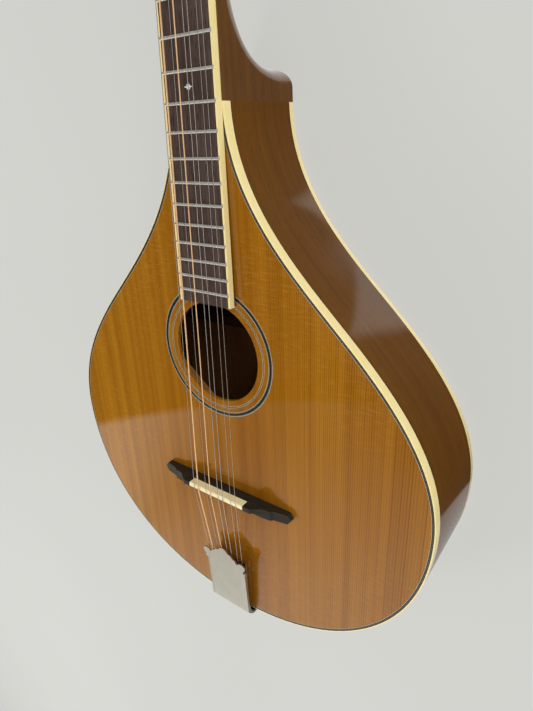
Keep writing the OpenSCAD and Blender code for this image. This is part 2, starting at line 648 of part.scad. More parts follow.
// Space under the cover's skin, which is the whole cover when inset is 0
module cover_space(inset) {
    w = cover_w - inset;
    rise = cover_start - cover_turn;
    intersection() {
        rotate([90, 0, 90]) translate([0, 0, -30]) linear_extrude(60) polygon(concat(
            beside(cover_line, -inset), [[0, cover_drop - inset], [0, cover_start[1] - inset]]));
        translate([0, cover_start[0], cover_start[1] - inset])
            rotate([90 + atan(rise[1] / rise[0]), 0, 0]) translate([0, 0, -10]) linear_extrude(100)
                polygon([[-w, -50], [-w, -cover_bevel[1]], [-w + cover_bevel[0], 0],
                    [w - cover_bevel[0], 0], [w, -cover_bevel[1]], [w, -50]]);
    }
}
module cover_skin() {
    rotate([90, 0, 90]) translate([0, 0, -30]) linear_extrude(60)
        polygon(concat(cover_line, reversed(beside(cover_line, -cover_t))));
}
module tailpiece_cover() {
    color(nickel) translate([0, 0, top_z]) {
        // Pressed body: flat top, sloping strips, side walls and the part over the tail
        difference() {
            intersection() {
                cover_space(0);
                rotate([90, 0, 90]) translate([0, 0, -30]) linear_extrude(60)
                    polygon(concat(cover_line, [[-tail_y - 4.4 + cover_t, cover_drop]],
                        cover_wall_edge));
                block_at(-30, 30, -300, ear_end, -60, 60);
            }
            cover_space(cover_t);
        }
        // Small eyelet under each ear
        for (s = [-1, 1]) translate([s * (cover_w - 0.6), ear_end - 2.2, 8]) rotate([0, s * 90, 0])
            difference() {
                cylinder(h = 1.3, r = eyelet_r);
                translate([0, 0, 0.6 + eps]) cylinder(h = 2, r = eyelet_r - 0.8);
            }
        // Flat upper end with the scalloped edge and the ears
        intersection() {
            cover_skin();
            translate([0, 0, -40]) linear_extrude(80) polygon(concat([[-cover_w, ear_end - 0.6],
                [-cover_w, ear_end]], reversed(mirrored(cover_edge)), cover_edge,
                [[cover_w, ear_end - 0.6]]));
        }
    }
}
module tailpiece_base() {
    color(nickel) translate([0, 0, top_z]) {
        difference() {
            rotate([90, 0, 90]) translate([0, 0, -base_w]) linear_extrude(2 * base_w)
                polygon([[-186, 1.5], [-186, 1.5 + base_t], [tail_end - 0.2, 1.5 + base_t],
                    [tail_end - base_t, 1.6], [tail_end - base_t, -30], [tail_end, -30],
                    [tail_end, 1.2]]);
            for (p = tail_screws) translate([p[0], 0, p[1]]) rotate([90, 0, 0])
                cylinder(h = 300, r = 1.6);
        }
        for (c = [0 : 3]) for (s = [-1, 1]) translate([hook_x(c, s), hook_y, 1.5 + base_t])
            cylinder(h = 5.1, r = 1.2);
    }
}
tail_screws = [[-9, -12], [9, -12], [0, -24]];
module end_pin() {
    color(ebony) translate([0, -tail_y, 24]) rotate([90, 0, 0]) rotate_extrude()
        polygon([[0, -16], [3.4, -16], [4.2, 0.4], [7.5, 0.4], [7.5, 2], [5, 4], [4.6, 9],
            [7, 13], [6.5, 16], [0, 17.5]]);
}
// A round-headed wood screw standing along +Z, with its head resting on z = 0
module wood_screw(r, head_r, head_h, length) {
    difference() {
        intersection() {
            cylinder(h = head_h, r = head_r);
            translate([0, 0, head_h - 2 * head_r]) sphere(r = 2 * head_r);
        }
        translate([-head_r, -0.25, head_h - 0.45]) cube([2 * head_r, 0.5, 2]);
    }
    translate([0, 0, -length]) cylinder(h = length, r = r);
}
module small_screws() {
    color("silver") {
        for (p = tail_screws) translate([p[0], tail_end - base_t, top_z + p[1]])
            rotate([90, 0, 0]) wood_screw(1.4, 2.6, 1.1, 12);
        for (p = cover_screws) head_frame() translate([p[0], p[1], 1.6])
            wood_screw(0.8, 1.5, 0.7, 6);
        for (side = [-1, 1]) for (y = plate_screws) head_frame()
            translate([side * post_x, y, back_w - plate_t]) mirror([0, 0, 1])
                wood_screw(1, 1.9, 0.9, 8);
    }
}

// ---- One line for each piece
soundboard();
back_plate();
rib(1);  // rib_treble
rib(-1);  // rib_bass
lining(top_z - top_t - lining_h);  // top_lining
lining(back_t);  // back_lining
end_blocks();
top_braces();
back_braces();
top_binding();
back_binding();
top_purfling();
rosette();
neck();
headstock();
headstock_veneer();
truss_rod();
truss_cover();
fretboard();
fretboard_binding();
fretboard_wedge();
frets();
inlays();
nut();
tuner_plates();
small_screws();
post_bushings();
bridge();
saddle();
tailpiece_base();
tailpiece_cover();
end_pin();
course(0);  // strings_g
course(1);  // strings_d
course(2);  // strings_a
course(3);  // strings_e
for (n = [1 : 8]) {
    tuner_button(n);
    tuner_worm(n);
    tuner_post(n);
}
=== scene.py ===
"""Looks of the flat-top octave mandolin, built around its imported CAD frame.

The instrument lies on its back: +Y up the neck, +Z out of the soundboard, +X the treble side.
"""

import json
import math

import bmesh
import bpy
from mathutils import Matrix, Vector
from mathutils.kdtree import KDTree

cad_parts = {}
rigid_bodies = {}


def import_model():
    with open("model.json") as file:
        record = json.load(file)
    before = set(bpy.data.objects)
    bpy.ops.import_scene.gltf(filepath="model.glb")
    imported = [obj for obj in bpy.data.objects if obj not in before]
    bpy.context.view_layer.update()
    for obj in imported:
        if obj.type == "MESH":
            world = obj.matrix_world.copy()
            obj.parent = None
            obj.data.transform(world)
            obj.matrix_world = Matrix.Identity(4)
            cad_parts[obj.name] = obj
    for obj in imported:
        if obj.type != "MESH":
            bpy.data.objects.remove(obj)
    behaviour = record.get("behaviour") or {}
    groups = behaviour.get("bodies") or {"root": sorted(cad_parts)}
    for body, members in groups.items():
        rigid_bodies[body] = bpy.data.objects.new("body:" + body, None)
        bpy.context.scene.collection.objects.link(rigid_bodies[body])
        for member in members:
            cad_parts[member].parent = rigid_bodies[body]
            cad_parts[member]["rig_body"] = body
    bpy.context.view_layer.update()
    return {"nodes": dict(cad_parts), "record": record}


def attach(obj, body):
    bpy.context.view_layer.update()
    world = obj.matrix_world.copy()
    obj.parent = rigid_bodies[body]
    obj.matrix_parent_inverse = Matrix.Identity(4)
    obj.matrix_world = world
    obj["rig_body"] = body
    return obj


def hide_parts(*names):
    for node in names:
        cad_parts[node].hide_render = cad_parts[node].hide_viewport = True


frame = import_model()
scene = bpy.context.scene
scene.view_settings.view_transform = "Standard"

MM = 0.001

# ---- Camera, placed first
LENS = 26.61
CAMERA_PLACE = (0.235603, 0.144340, 0.324373)
CAMERA_TURN = (-2.6016508, -0.1240420, 0.8592225)


def place_camera():
    data = bpy.data.cameras.new("camera")
    data.lens = LENS
    data.sensor_width = 36
    data.clip_start = 0.01
    data.clip_end = 60
    camera = bpy.data.objects.new("camera", data)
    scene.collection.objects.link(camera)
    turn = Vector(CAMERA_TURN)
    rows = Matrix.Rotation(turn.length, 3, turn.normalized())
    side, down, ahead = rows[0], rows[1], rows[2]
    camera.matrix_world = Matrix((
        (side[0], -down[0], -ahead[0], CAMERA_PLACE[0]),
        (side[1], -down[1], -ahead[1], CAMERA_PLACE[1]),
        (side[2], -down[2], -ahead[2], CAMERA_PLACE[2]),
        (0, 0, 0, 1),
    ))
    scene.camera = camera


place_camera()

# ---- Sizes that the looks share with the design, in mm
TOP_Z = 72.0
JOINT_Y = 160.0
TAIL_Y = 236.4
NUT_Y = 440.0
SADDLE_Y = -120.0
SCALE = 560.0
LEAN = math.radians(1.1)
HEAD_LEAN = math.radians(13)
BIND_W = 0.9
BIND_H = 6.8
BACK_BIND_H = 4.5
RIB_T = 2.2
TOP_T = 2.8
BACK_T = 2.5
BINDING_EASE = 0.5
SIDE_LINE = 0.5
PURFLING_DEPTH = 1.2
RING_DEPTH = 1.5
HOLE_ROUND = 0.6
BOARD_T = 4.3
FRET_H = 1.0
FRET_W = 1.9
FRET_ROUND = 0.8
FRET_END_SLOPE = 0.55
FRETS = 21
POST_X = 21.5
FIRST_POST = 28.0
POST_PITCH = 23.0
POST_R = 3.0
BRIDGE_FRONT = SADDLE_Y + 7
HOLE_R = 37.1


# ---- Material workshop
def add(tree, kind, inputs=None, **settings):
    """One shader node, with its sockets set or joined."""
    node = tree.nodes.new(kind)
    for key, value in settings.items():
        setattr(node, key, value)
    for key, value in (inputs or {}).items():
        socket = node.inputs[key]
        if isinstance(value, bpy.types.NodeSocket):
            tree.links.new(value, socket)
        else:
            socket.default_value = value
    return node


def ramp(tree, factor, stops):
    """A colour ramp through (place, colour) stops."""
    node = tree.nodes.new("ShaderNodeValToRGB")
    tree.links.new(factor, node.inputs[0])
    steps = node.color_ramp.elements
    while len(steps) < len(stops):
        steps.new(0.5)
    for step, (place, colour) in zip(steps, stops):
        step.position = place
        step.color = (*colour, 1)
    return node.outputs[0]


def greys(*pairs):
    """Stops of a grey ramp from (place, value) pairs."""
    return [(place, (v, v, v)) for place, v in pairs]


def math_node(tree, operation, a, b=0.0):
    return add(tree, "ShaderNodeMath", {0: a, 1: b}, operation=operation).outputs[0]


def blend_colours(tree, factor, a, b, mode="MIX"):
    node = add(tree, "ShaderNodeMix", data_type="RGBA", blend_type=mode)
    for key, value in ((0, factor), (6, a), (7, b)):
        socket = node.inputs[key]
        if isinstance(value, bpy.types.NodeSocket):
            tree.links.new(value, socket)
        else:
            socket.default_value = value if key == 0 else (*value[:3], 1)
    return node.outputs[2]


def stretched(tree, vector, scale, turn=(0, 0, 0), shift=(0, 0, 0)):
    return add(tree, "ShaderNodeMapping", {"Vector": vector, "Scale": scale, "Rotation": turn,
        "Location": shift}).outputs[0]


def noise(tree, vector, scale, detail=2.0, rough=0.5):
    return add(tree, "ShaderNodeTexNoise", {"Vector": vector, "Scale": scale, "Detail": detail,
        "Roughness": rough}).outputs[0]


def new_group(name, inputs, outputs):
    """A node group with named sockets; returns it with its inner input and output nodes."""
    group = bpy.data.node_groups.new(name, "ShaderNodeTree")
    for label, kind, value in inputs:
        socket = group.interface.new_socket(name=label, in_out="INPUT", socket_type=kind)
        if value is not None:
            socket.default_value = value
    for label, kind in outputs:
        group.interface.new_socket(name=label, in_out="OUTPUT", socket_type=kind)
    return group, group.nodes.new("NodeGroupInput"), group.nodes.new("NodeGroupOutput")


FLOAT, COLOUR, VECTOR = "NodeSocketFloat", "NodeSocketColor", "NodeSocketVector"


def make_straight_grain():
    """Quarter-sawn softwood: growth lines along Y, counted out from the centre seam."""
    group, given, out = new_group("straight_grain", [
        ("Coordinates", VECTOR, None), ("Line pitch", FLOAT, 0.0016), ("Waviness", FLOAT, 1.0),
        ("Early wood", COLOUR, (0.5, 0.25, 0.06, 1)), ("Late wood", COLOUR, (0.3, 0.12, 0.02, 1)),
        ("Shaded wood", COLOUR, (0.4, 0.2, 0.05, 1)),
    ], [("Color", COLOUR), ("Lines", FLOAT), ("Height", FLOAT)])
    g = given.outputs
    drift = noise(group, stretched(group, g["Coordinates"], (6, 2.2, 6)), 1.0, 2)
    drift = math_node(group, "MULTIPLY", math_node(group, "SUBTRACT", drift, 0.5), 0.009)
    drift = math_node(group, "MULTIPLY", drift, g["Waviness"])
    ripple = noise(group, stretched(group, g["Coordinates"], (60, 14, 60)), 1.0, 1)
    ripple = math_node(group, "MULTIPLY", math_node(group, "SUBTRACT", ripple, 0.5), 0.0006)
    split = add(group, "ShaderNodeSeparateXYZ", {0: g["Coordinates"]}).outputs
    across = math_node(group, "ABSOLUTE", split[0])
    across = math_node(group, "ADD", math_node(group, "ADD", across, drift), ripple)
    rings = math_node(group, "DIVIDE", across, g["Line pitch"])
    # The pitch tightens towards the seam, as it does in a book-matched pair
    rings = math_node(group, "MULTIPLY", rings,
        math_node(group, "SUBTRACT", 1.35, math_node(group, "MULTIPLY", across, 2.2)))
    phase = math_node(group, "FRACT", rings)
    count = math_node(group, "FLOOR", rings)
    late = ramp(group, phase, greys((0.0, 0.0), (0.55, 0.12), (0.86, 1.0), (0.97, 1.0), (1.0, 0.0)))
    each = add(group, "ShaderNodeTexWhiteNoise", {"W": count}, noise_dimensions="1D").outputs[0]
    each = math_node(group, "ADD", 0.25, math_node(group, "MULTIPLY", each, 0.75))
    late = math_node(group, "MULTIPLY", late, each)
    # Years of slow growth stand together as darker streaks
    streak = noise(group, stretched(group, g["Coordinates"], (130, 1.1, 130), shift=(7, 2, 0)), 1.0, 3)
    streak = ramp(group, streak, greys((0.36, 0.0), (0.64, 1.0)))
    fibre = noise(group, stretched(group, g["Coordinates"], (2600, 60, 2600)), 1.0, 3, 0.6)
    fibre = ramp(group, fibre, greys((0.3, 0.0), (0.7, 1.0)))
    silk = noise(group, stretched(group, g["Coordinates"], (110, 620, 110)), 1.0, 2, 0.6)
    silk = ramp(group, silk, greys((0.45, 0.0), (0.7, 1.0)))
    patch = noise(group, stretched(group, g["Coordinates"], (11, 8, 11), shift=(1, 4, 2)), 1.0, 2)
    silk = math_node(group, "MULTIPLY", silk, ramp(group, patch, greys((0.4, 0.15), (0.62, 1.0))))
    board = noise(group, stretched(group, g["Coordinates"], (16, 1.6, 16), shift=(3, 1, 0)), 1.0, 3)
    board = ramp(group, board, greys((0.35, 0.0), (0.68, 1.0)))
    body = blend_colours(group, board, g["Early wood"], g["Shaded wood"])
    body = blend_colours(group, math_node(group, "MULTIPLY", streak, 0.30), body, g["Late wood"])
    body = blend_colours(group, math_node(group, "MULTIPLY", fibre, 0.10), body, (0.02, 0.008, 0.002))
    body = blend_colours(group, math_node(group, "MULTIPLY", silk, 0.13), body, (0.72, 0.40, 0.10))
    deep = math_node(group, "ADD", 0.62, math_node(group, "MULTIPLY", streak, 0.38))
    final = blend_colours(group, math_node(group, "MULTIPLY", late, deep), body, g["Late wood"])
    group.links.new(final, out.inputs["Color"])
    group.links.new(late, out.inputs["Lines"])
    group.links.new(math_node(group, "ADD", math_node(group, "MULTIPLY", late, 0.7),
        math_node(group, "MULTIPLY", fibre, 0.3)), out.inputs["Height"])
    return group


def make_open_pores():
    """Dark hardwood: figure, flecks and short open pores that run along one direction."""
    group, given, out = new_group("open_pores", [
        ("Coordinates", VECTOR, None), ("Figure scale", FLOAT, 1.0), ("Pore depth", FLOAT, 0.6),
        ("Wood", COLOUR, (0.2, 0.08, 0.03, 1)), ("Dark wood", COLOUR, (0.1, 0.04, 0.015, 1)),
        ("Pore", COLOUR, (0.02, 0.008, 0.004, 1)),
    ], [("Color", COLOUR), ("Pores", FLOAT), ("Height", FLOAT)])
    g = given.outputs
    figure = add(group, "ShaderNodeVectorMath", {0: g["Coordinates"], 3: g["Figure scale"]},
        operation="SCALE").outputs[0]
    bands = noise(group, stretched(group, figure, (260, 7, 260)), 1.0, 4, 0.6)
    bands = ramp(group, bands, greys((0.3, 0.0), (0.7, 1.0)))
    cloud = noise(group, stretched(group, figure, (26, 9, 26), shift=(2, 5, 1)), 1.0, 3)
    cloud = ramp(group, cloud, greys((0.3, 0.0), (0.7, 1.0)))
    mixed = math_node(group, "ADD", math_node(group, "MULTIPLY", bands, 0.55),
        math_node(group, "MULTIPLY", cloud, 0.45))
    body = blend_colours(group, mixed, g["Wood"], g["Dark wood"])
    cells = noise(group, stretched(group, g["Coordinates"], (1500, 130, 1500)), 1.0, 2, 0.55)
    pores = ramp(group, cells, greys((0.57, 0.0), (0.66, 1.0)))
    pores = math_node(group, "MULTIPLY", pores, g["Pore depth"])
    final = blend_colours(group, pores, body, g["Pore"])
    group.links.new(final, out.inputs["Color"])
    group.links.new(pores, out.inputs["Pores"])
    group.links.new(math_node(group, "SUBTRACT", 1.0, pores), out.inputs["Height"])
    return group


def make_handling():
    """Fine rubbing marks, smudges and dust: a mask and a relief for plated and polished parts."""
    group, given, out = new_group("handling", [
        ("Coordinates", VECTOR, None), ("Scale", FLOAT, 1.0), ("Along", VECTOR, (400, 9000, 400)),
    ], [("Smudge", FLOAT), ("Scratches", FLOAT), ("Height", FLOAT)])
    g = given.outputs
    place = add(group, "ShaderNodeVectorMath", {0: g["Coordinates"], 3: g["Scale"]},
        operation="SCALE").outputs[0]
    smudge = ramp(group, noise(group, place, 120.0, 4, 0.6), greys((0.3, 0.0), (0.75, 1.0)))
    drawn = add(group, "ShaderNodeVectorMath", {0: place, 1: g["Along"]},
        operation="MULTIPLY").outputs[0]
    lines = noise(group, drawn, 1.0, 2, 0.6)
    scratches = ramp(group, lines, greys((0.45, 0.0), (0.75, 1.0)))
    group.links.new(smudge, out.inputs["Smudge"])
    group.links.new(scratches, out.inputs["Scratches"])
    group.links.new(math_node(group, "ADD", math_node(group, "MULTIPLY", scratches, 0.6),
        math_node(group, "MULTIPLY", smudge, 0.4)), out.inputs["Height"])
    return group


STRAIGHT_GRAIN = make_straight_grain()
OPEN_PORES = make_open_pores()
HANDLING = make_handling()


def use_group(tree, group, inputs):
    node = tree.nodes.new("ShaderNodeGroup")
    node.node_tree = group
    for key, value in inputs.items():
        socket = node.inputs[key]
        if isinstance(value, bpy.types.NodeSocket):
            tree.links.new(value, socket)
        else:
            socket.default_value = (*value, 1) if socket.type == "RGBA" else value
    return node.outputs


def new_material(name, **constants):
    """A material with its Principled shader; constants go straight on the shader's sockets."""
    material = bpy.data.materials.new(name)
    material.use_nodes = True
    tree = material.node_tree
    shader = tree.nodes["Principled BSDF"]
    for key, value in constants.items():
        shader.inputs[key.replace("_", " ")].default_value = value
    place = tree.nodes.new("ShaderNodeTexCoord").outputs["Object"]
    return material, tree, shader, place


def finish_material(tree, shader, colour, roughness, height=None, depth=0.00005, strength=0.5):
    """Joins colour, roughness and a fine relief to the shader."""
    tree.links.new(colour, shader.inputs["Base Color"])
    tree.links.new(roughness, shader.inputs["Roughness"])
    if height is not None:
        bump = add(tree, "ShaderNodeBump", {"Height": height, "Distance": depth,
            "Strength": strength})
        tree.links.new(bump.outputs[0], shader.inputs["Normal"])


def spread(tree, mask, low, high):
    """A value from low to high as the mask goes from 0 to 1."""
    return add(tree, "ShaderNodeMapRange", {"Value": mask, "To Min": low, "To Max": high}).outputs[0]


def softwood(name, early, late, shaded, pitch, gloss):
    """Quarter-sawn softwood under a thin lacquer."""
    material, tree, shader, place = new_material(name, Coat_Weight=gloss, Coat_Roughness=0.01,
        Coat_IOR=1.5, Specular_IOR_Level=0.0)
    grain = use_group(tree, STRAIGHT_GRAIN, {"Coordinates": place, "Line pitch": pitch,
        "Waviness": 1.0, "Early wood": early, "Late wood": late, "Shaded wood": shaded})
    finish_material(tree, shader, grain["Color"], spread(tree, grain["Lines"], 0.45, 0.35),
        grain["Height"], 0.00003, 0.25)
    return material


def hardwood(name, wood, dark, pore, turn=(0, 0, 0), gloss=1.0, rough=0.45, pore_depth=0.6,
        figure=1.0, bent=False):
    """Open-pored hardwood, bare or lacquered; a bent piece's grain follows its bend."""
    material, tree, shader, place = new_material(name, Coat_Weight=gloss, Coat_Roughness=0.05,
        Coat_IOR=1.5, Specular_IOR_Level=0.15)
    if bent:
        place = add(tree, "ShaderNodeAttribute", attribute_name="bent_place").outputs["Vector"]
    turned = stretched(tree, place, (1, 1, 1), turn)
    grain = use_group(tree, OPEN_PORES, {"Coordinates": turned, "Figure scale": figure,
        "Pore depth": pore_depth, "Wood": wood, "Dark wood": dark, "Pore": pore})
    finish_material(tree, shader, grain["Color"], spread(tree, grain["Pores"], rough, rough + 0.2),
        grain["Height"], 0.00006, 0.3 if gloss else 0.8)
    return material


def plastic(name, colour, second, rough=0.25, coat=0.6, grain_scale=1.0):
    """Celluloid, bone or shell with a faint second tone and fine rubbing marks."""
    material, tree, shader, place = new_material(name, Coat_Weight=coat, Coat_Roughness=0.08)
    marks = use_group(tree, HANDLING, {"Coordinates": place, "Scale": grain_scale,
        "Along": (300, 60, 300)})
    tone = blend_colours(tree, marks["Smudge"], colour, second)
    finish_material(tree, shader, tone, spread(tree, marks["Scratches"], rough, rough + 0.12),
        marks["Height"], 0.00002, 0.2)
    return material


def plated(name, colour, second, rough, along=(400, 9000, 400), metal=1.0):
    """Plated or drawn metal, with its marks stretched along the way it was drawn."""
    material, tree, shader, place = new_material(name, Metallic=metal)
    marks = use_group(tree, HANDLING, {"Coordinates": place, "Scale": 1.0, "Along": along})
    tone = blend_colours(tree, marks["Smudge"], colour, second)
    finish_material(tree, shader, tone, spread(tree, marks["Scratches"], rough, rough + 0.15),
        marks["Height"], 0.00001, 0.25)
    return material


QUARTER = math.pi / 2
TOP_WOOD = softwood("top_wood", (0.44, 0.188, 0.011), (0.17, 0.048, 0.002), (0.33, 0.122, 0.006),
    0.0014, 1.0)
INNER_WOOD = softwood("inner_wood", (0.30, 0.16, 0.055), (0.2, 0.09, 0.025), (0.26, 0.13, 0.04),
    0.002, 0.0)
SIDE_WOOD = hardwood("side_mahogany", (0.175, 0.066, 0.004), (0.095, 0.033, 0.003),
    (0.05, 0.018, 0.003), pore_depth=0.35, bent=True)
BACK_WOOD = hardwood("back_mahogany", (0.19, 0.08, 0.027), (0.11, 0.042, 0.014),
    (0.03, 0.012, 0.005))
NECK_WOOD = hardwood("neck_mahogany", (0.17, 0.072, 0.016), (0.085, 0.034, 0.009),
    (0.035, 0.014, 0.005), pore_depth=0.35)
BLOCK_WOOD = hardwood("block_mahogany", (0.26, 0.12, 0.05), (0.16, 0.07, 0.03),
    (0.05, 0.02, 0.01), gloss=0.0, rough=0.7)
# The back braces are painted nearly black: painted shade for the dark inside of the body seen through
# the soundhole
BRACE_WOOD_PAINTED_SHADE = hardwood("brace_painted_shade", (0.030, 0.010, 0.007), (0.018, 0.006, 0.004),
    (0.01, 0.004, 0.003), gloss=0.0, rough=0.8)
ROSEWOOD = hardwood("rosewood", (0.115, 0.078, 0.064), (0.04, 0.024, 0.019),
    (0.02, 0.013, 0.011), gloss=0.0, rough=0.42, pore_depth=0.8, figure=1.6)
EBONY = hardwood("ebony", (0.036, 0.029, 0.019), (0.021, 0.017, 0.011), (0.006, 0.004, 0.003),
    turn=(0, 0, QUARTER), gloss=0.0, rough=0.36, pore_depth=0.4)
HEAD_EBONY = hardwood("head_ebony", (0.022, 0.016, 0.013), (0.012, 0.009, 0.007),
    (0.005, 0.004, 0.003), gloss=1.0, rough=0.4, pore_depth=0.4)
CREAM = plastic("cream_binding", (0.93, 0.76, 0.33), (0.96, 0.82, 0.42))
BLACK_LINE = plastic("black_line", (0.004, 0.004, 0.003), (0.009, 0.009, 0.007), rough=0.3,
    coat=0.2)
GREY_LINE = plastic("grey_line", (0.14, 0.14, 0.11), (0.19, 0.19, 0.15), rough=0.3, coat=0.3)
WHITE_LINE = plastic("white_line", (0.42, 0.37, 0.24), (0.52, 0.47, 0.33), rough=0.3, coat=0.5)
PEARL = plastic("pearl", (0.75, 0.76, 0.72), (0.9, 0.92, 0.95), rough=0.15, coat=1.0, grain_scale=4)
BONE = plastic("bone", (0.97, 0.87, 0.50), (1.0, 0.93, 0.62), rough=0.3, coat=0.4)
BUTTON_CREAM = plastic("button_cream", (0.82, 0.74, 0.52), (0.88, 0.82, 0.63), rough=0.2, coat=0.8)
NICKEL = plated("nickel", (0.72, 0.70, 0.65), (0.64, 0.61, 0.55), 0.16)
SATIN_NICKEL = plated("satin_nickel", (0.62, 0.60, 0.52), (0.56, 0.54, 0.46), 0.42,
    along=(5000, 250, 5000))
STEEL = plated("steel", (0.5, 0.5, 0.5), (0.38, 0.37, 0.36), 0.35)
FRET_WIRE = plated("fret_wire", (0.97, 0.97, 0.90), (0.85, 0.85, 0.78), 0.2, metal=0.7)
PLAIN_WIRE = plated("plain_wire", (0.62, 0.56, 0.52), (0.50, 0.44, 0.39), 0.2, along=(3000, 60, 3000),
    metal=0.9)
WOUND_WIRE = plated("wound_wire", (1.0, 0.66, 0.38), (0.93, 0.56, 0.29), 0.35,
    along=(3000, 60, 3000), metal=0.4)

NODE_MATERIALS = {
    "soundboard": TOP_WOOD, "back_plate": BACK_WOOD, "rib_treble": SIDE_WOOD,
    "rib_bass": SIDE_WOOD, "top_lining": INNER_WOOD, "back_lining": INNER_WOOD,
    "end_blocks": BLOCK_WOOD, "top_braces": INNER_WOOD, "back_braces": BRACE_WOOD_PAINTED_SHADE,
    "top_binding": CREAM, "back_binding": CREAM, "top_purfling": BLACK_LINE,
    "rosette": BLACK_LINE, "neck": NECK_WOOD, "headstock": NECK_WOOD,
    "headstock_veneer": HEAD_EBONY, "truss_rod": STEEL, "truss_cover": HEAD_EBONY,
    "fretboard": ROSEWOOD, "fretboard_binding": CREAM, "fretboard_wedge": EBONY,
    "frets": FRET_WIRE, "inlays": PEARL, "nut": BONE, "tuner_plates": NICKEL,
    "small_screws": NICKEL, "post_bushings": NICKEL, "bridge": EBONY, "saddle": BONE,
    "tailpiece_base": NICKEL, "tailpiece_cover": SATIN_NICKEL, "end_pin": EBONY,
    "strings_g": WOUND_WIRE, "strings_d": WOUND_WIRE, "strings_a": PLAIN_WIRE,
    "strings_e": PLAIN_WIRE,
}
for number in range(1, 9):
    NODE_MATERIALS[f"tuner_{number}_button"] = BUTTON_CREAM
    NODE_MATERIALS[f"tuner_{number}_worm"] = NICKEL
    NODE_MATERIALS[f"tuner_{number}_post"] = NICKEL


def paint(piece, material):
    piece.data.materials.clear()
    piece.data.materials.append(material)
    for face in piece.data.polygons:
        face.material_index = 0


for name, node in frame["nodes"].items():
    paint(node, NODE_MATERIALS[name])


# ---- Workbench: small tools for shaping a piece
def clear_bench():
    if bpy.context.mode != "OBJECT":
        bpy.ops.object.mode_set(mode="OBJECT")
    bpy.ops.object.select_all(action="DESELECT")


def take(piece):
    clear_bench()
    piece.select_set(True)
    bpy.context.view_layer.objects.active = piece


def edit(piece, mode="VERT"):
    take(piece)
    bpy.ops.object.mode_set(mode="EDIT")
    bpy.ops.mesh.select_mode(type=mode)
    bpy.ops.mesh.select_all(action="DESELECT")
    return bmesh.from_edit_mesh(piece.data)


def pick(piece, mesh, parts, test):
    """Selects in edit mode the parts (verts, edges or faces) that pass a test."""
    for part in parts:
        part.select = bool(test(part))
    mesh.select_flush_mode()
    bmesh.update_edit_mesh(piece.data)


def done():
    bpy.ops.object.mode_set(mode="OBJECT")


def apply_modifier(piece, kind, **settings):
    take(piece)
    modifier = piece.modifiers.new(kind.lower(), kind)
    for key, value in settings.items():
        setattr(modifier, key, value)
    bpy.ops.object.modifier_apply(modifier=modifier.name)


def settle(piece):
    """Puts the piece's place into its mesh, with its object at the origin."""
    take(piece)
    bpy.ops.object.transform_apply(location=True, rotation=True, scale=True)


def merge(piece, distance=0.000002):
    edit(piece)
    bpy.ops.mesh.select_all(action="SELECT")
    bpy.ops.mesh.remove_doubles(threshold=distance)
    done()


def face_outwards(piece):
    edit(piece)
    bpy.ops.mesh.select_all(action="SELECT")
    bpy.ops.mesh.normals_make_consistent(inside=False)
    done()


def smooth(piece, angle=30):
    take(piece)
    bpy.ops.object.shade_smooth_by_angle(angle=math.radians(angle))


def join_pieces(pieces, name, smooth_angle):
    """Makes one piece of several, with its normals outward."""
    clear_bench()
    for piece in pieces:
        piece.select_set(True)
    whole = pieces[0]
    bpy.context.view_layer.objects.active = whole
    bpy.ops.object.join()
    whole.name = name
    face_outwards(whole)
    smooth(whole, smooth_angle)
    return whole


def mount(piece, body, slot, material, *nodes):
    """Gives a finished piece its material, its body and the CAD nodes it stands for."""
    paint(piece, material)
    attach(piece, body)
    if nodes:
        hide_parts(*nodes)
    return piece


def body_of_node(node):
    return frame["nodes"][node]["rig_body"]


SLOT_OF = {part["node"]: part["material_slot"] for part in frame["record"]["subparts"]}


def copy_node(node, name):
    """A merged copy of a CAD node, ready to be shaped."""
    piece = bpy.data.objects.new(name, frame["nodes"][node].data.copy())
    scene.collection.objects.link(piece)
    merge(piece)
    edit(piece)
    bpy.ops.mesh.select_all(action="SELECT")
    bpy.ops.mesh.dissolve_limited(angle_limit=math.radians(0.4))
    done()
    return piece


def eased(node, width, segments=2, angle=32, smooth_angle=40):
    """A copy of a node with its sharp edges rounded over."""
    piece = copy_node(node, node + "_piece")
    if width:
        apply_modifier(piece, "BEVEL", width=width * MM, segments=segments, limit_method="ANGLE",
            angle_limit=math.radians(angle), use_clamp_overlap=True)
    smooth(piece, smooth_angle)
    apply_modifier(piece, "WEIGHTED_NORMAL", keep_sharp=True, weight=80)
    return mount(piece, body_of_node(node), SLOT_OF[node], NODE_MATERIALS[node], node)


# ---- Places on the leaning board and headstock, in mm
def board_place(x, along, above):
    return Vector((x, JOINT_Y + along * math.cos(LEAN) + above * math.sin(LEAN),
        TOP_Z - along * math.sin(LEAN) + above * math.cos(LEAN)))


def head_place(x, along, above):
    return board_place(x,
        NUT_Y - JOINT_Y + 4.6 + along * math.cos(HEAD_LEAN) + above * math.sin(HEAD_LEAN),
        2 - along * math.sin(HEAD_LEAN) + above * math.cos(HEAD_LEAN))


BOARD_TURN = Matrix.Rotation(-LEAN, 4, "X")


def fret_y(number):
    return SADDLE_Y + SCALE * 2 ** (-number / 12)


def board_half(y):
    return 19.5 - 0.0108 * (y - JOINT_Y)


# ---- Body: strips that follow the outline
TURN = Vector((99.4, 32.5))
TURN_DIR = Vector((math.cos(math.radians(44.5)), -math.sin(math.radians(44.5))))
# Knots of the outline down the treble side: point, handle before, handle after
TREBLE_KNOTS = [
    (Vector((21.7, 160)), Vector((21.2, 185)), Vector((22.7, 106))),
    (TURN, TURN - 50.5 * TURN_DIR, TURN + 49.5 * TURN_DIR),
    (Vector((165.9, -87)), Vector((165.9, -38.5)), Vector((165.9, -173))),
]
TAIL_KNOT = (Vector((0, -TAIL_Y)), Vector((97.5, -TAIL_Y)), Vector((-97.5, -TAIL_Y)))


def flipped(v):
    return Vector((-v[0], v[1]))


